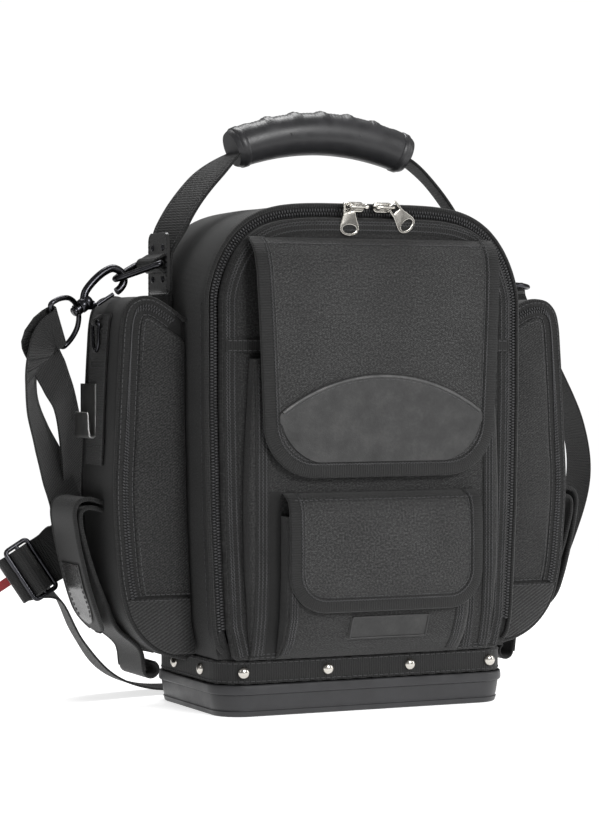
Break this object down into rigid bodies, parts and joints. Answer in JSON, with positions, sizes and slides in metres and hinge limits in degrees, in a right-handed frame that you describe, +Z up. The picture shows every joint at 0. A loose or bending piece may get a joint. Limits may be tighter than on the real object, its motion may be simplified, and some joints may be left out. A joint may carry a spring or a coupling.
{
  "type": "tool backpack",
  "caption": "Tool backpack on a moulded base tray, with zipped body, flap pockets, side pockets with sheaths, top grip and shoulder strap.",
  "frame": {"origin": "centre of the base tray's underside", "axes": "+Z up, -Y towards the front with the flap pockets, +X to the right seen from the front"},
  "size_m": [0.5134, 0.2264, 0.4595],
  "materials": {
    "nylon": "matt woven nylon, charcoal",
    "twill": "matt diagonal twill, charcoal",
    "webbing": "matt black woven tape",
    "leather": "satin dark grey, bare",
    "plastic": "satin moulded",
    "nickel": "bright nickel",
    "black_nickel": "black nickel",
    "red_cloth": "matt woven tape"
  },
  "bodies": {
    "backpack": {"base_tray": "plastic", "base_strip": "webbing", "rivet_front_1": "nickel", "rivet_front_2": "nickel", "rivet_front_3": "nickel", "rivet_front_4": "nickel", "rivet_left_1": "nickel", "rivet_left_2": "nickel", "rivet_right_1": "nickel", "rivet_right_2": "nickel", "rivet_back_1": "nickel", "rivet_back_2": "nickel", "rivet_back_3": "nickel", "rivet_back_4": "nickel", "body_shell": "nylon", "front_panel": "nylon", "main_zip": "webbing", "zip_slider_left": "nickel", "zip_slider_right": "nickel", "front_tape": "webbing", "big_pocket": "twill", "main_flap": "nylon", "flap_patch": "leather", "small_pocket": "twill", "small_flap": "twill", "label_patch": "leather", "side_pocket_left": "nylon", "side_cover_left": "twill", "side_zip_left": "webbing", "sheath_panel_left": "nylon", "sheath_flap_left": "nylon", "sheath_patch_left": "leather", "chape_plate_left": "leather", "ring_holder_left": "webbing", "side_ring_left": "black_nickel", "snap_hook_left": "black_nickel", "strap_ring_left": "black_nickel", "side_pocket_right": "nylon", "side_cover_right": "twill", "side_zip_right": "webbing", "sheath_panel_right": "nylon", "sheath_flap_right": "nylon", "sheath_patch_right": "leather", "chape_plate_right": "leather", "ring_holder_right": "webbing", "side_ring_right": "black_nickel", "snap_hook_right": "black_nickel", "strap_ring_right": "black_nickel", "ring_keeper": "webbing", "small_ring": "black_nickel", "tape_clip": "nickel", "handle_webbing": "webbing", "grip": "plastic", "shoulder_strap": "webbing", "strap_slide": "black_nickel", "strap_tag": "red_cloth"},
    "pull_left": {"zip_pull_left": "nickel"},
    "pull_right": {"zip_pull_right": "nickel"},
    "gate": {"hook_gate_left": "black_nickel"}
  },
  "joints": [
    {"name": "zip_pull_left_swing", "type": "hinge", "parent": "backpack", "child": "pull_left", "pos_m": [-0.01836, -0.0722, 0.3794], "axis": [0, 1, 0], "range_deg": [-20, 80]},
    {"name": "zip_pull_right_swing", "type": "hinge", "parent": "backpack", "child": "pull_right", "pos_m": [0.01885, -0.0722, 0.3794], "axis": [0, 1, 0], "range_deg": [-40, 60]},
    {"name": "hook_gate_press", "type": "hinge", "parent": "backpack", "child": "gate", "pos_m": [-0.18656, 0.01546, 0.30599], "axis": [0.082, -0.9948, 0.061], "range_deg": [0, 20], "stiffness_Nm_per_rad": 0.02, "springref_deg": -5.73}
  ]
}
